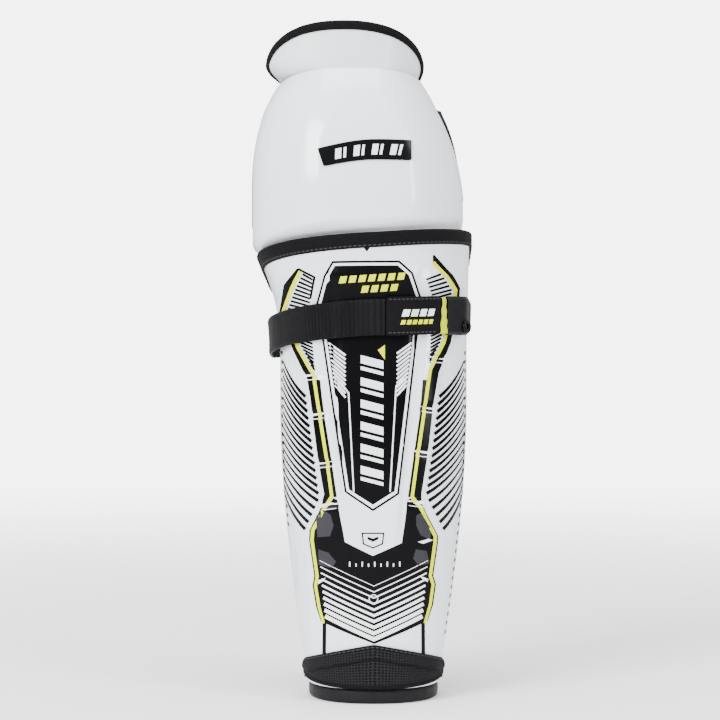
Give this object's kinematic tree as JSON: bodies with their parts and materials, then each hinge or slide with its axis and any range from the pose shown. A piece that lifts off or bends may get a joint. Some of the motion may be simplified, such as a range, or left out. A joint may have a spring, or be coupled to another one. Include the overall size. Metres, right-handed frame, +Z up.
{
  "type": "hockey shin guard",
  "caption": "Moulded left-leg shin guard with a tilting knee cap, foam liner, thigh flap, hinged calf wings and peel-off straps.",
  "frame": {"origin": "on the leg's axis, at the level of the flat underside of the lower end", "axes": "+Z up the leg towards the thigh, -Y out of the front of the shin, +X towards the outside of the left leg"},
  "size_m": [0.1579, 0.1659, 0.4742],
  "materials": {
    "shell_plastic": "gloss",
    "flap_plastic": "satin",
    "binding_cloth": "matte",
    "mesh_cloth": "matte",
    "bumper_foam": "matte",
    "liner_cloth": "matte",
    "pad_cloth": "matte",
    "hook_cloth": "matte",
    "webbing": "satin",
    "elastic": "matte",
    "anchor_cloth": "matte",
    "badge_plastic": "gloss",
    "label_cloth": "satin",
    "marker_cloth": "matte",
    "grip_rubber": "satin"
  },
  "bodies": {
    "guard": {"shin_shell": "shell_plastic", "shell_top_binding": "binding_cloth", "instep_cover": "mesh_cloth", "ankle_bumper": "bumper_foam", "shin_liner": "liner_cloth", "tibia_pad_left": "pad_cloth", "tibia_pad_right": "pad_cloth", "ankle_pad": "pad_cloth", "liner_hook_dots": "hook_cloth", "shell_hook_patch": "hook_cloth", "lock_strap_webbing": "webbing", "upper_calf_elastic": "elastic", "lower_calf_elastic": "elastic", "knee_link_left": "elastic", "knee_link_right": "elastic", "strap_anchor_patch": "anchor_cloth", "lower_anchor_left": "anchor_cloth", "lower_anchor_right": "anchor_cloth"},
    "knee_cap": {"knee_cap_shell": "shell_plastic", "knee_liner": "liner_cloth", "knee_liner_binding": "binding_cloth", "knee_cup_ring": "pad_cloth", "knee_label": "badge_plastic", "knee_hook_dots": "hook_cloth"},
    "thigh_flap": {"thigh_flap_panel": "flap_plastic", "thigh_flap_lining": "liner_cloth", "thigh_flap_binding": "binding_cloth"},
    "left_wing": {"left_calf_wing": "liner_cloth", "left_wing_binding": "binding_cloth"},
    "right_wing": {"right_calf_wing": "liner_cloth", "right_wing_binding": "binding_cloth"},
    "strap_tab": {"tab_webbing": "webbing", "tab_label": "label_cloth", "tab_hook_pad": "hook_cloth", "tab_marker": "marker_cloth", "tab_end_grip": "grip_rubber", "tab_eyelet": "badge_plastic"},
    "lower_tab": {"lower_strap_tab": "elastic", "lower_tab_hook_pad": "hook_cloth"}
  },
  "joints": [
    {"name": "knee_flex", "type": "hinge", "parent": "guard", "child": "knee_cap", "pos_m": [0, 0.008, 0.3], "axis": [1, 0, 0], "range_deg": [-16, 0]},
    {"name": "thigh_flap_flex", "type": "hinge", "parent": "knee_cap", "child": "thigh_flap", "pos_m": [0, -0.02, 0.436], "axis": [1, 0, 0], "range_deg": [-12, 6]},
    {"name": "left_wing_flex", "type": "hinge", "parent": "guard", "child": "left_wing", "pos_m": [-0.06, 0.0175, 0.15], "axis": [0, 0, -1], "range_deg": [0, 12]},
    {"name": "right_wing_flex", "type": "hinge", "parent": "guard", "child": "right_wing", "pos_m": [0.06, 0.0175, 0.15], "axis": [0, 0, 1], "range_deg": [0, 12]},
    {"name": "strap_tab_peel", "type": "hinge", "parent": "guard", "child": "strap_tab", "pos_m": [0.003, -0.07, 0.27], "axis": [0, 0, -1], "range_deg": [0, 60]},
    {"name": "lower_tab_peel", "type": "hinge", "parent": "guard", "child": "lower_tab", "pos_m": [0.047, 0.055, 0.092], "axis": [0, 0, 1], "range_deg": [0, 50]}
  ]
}
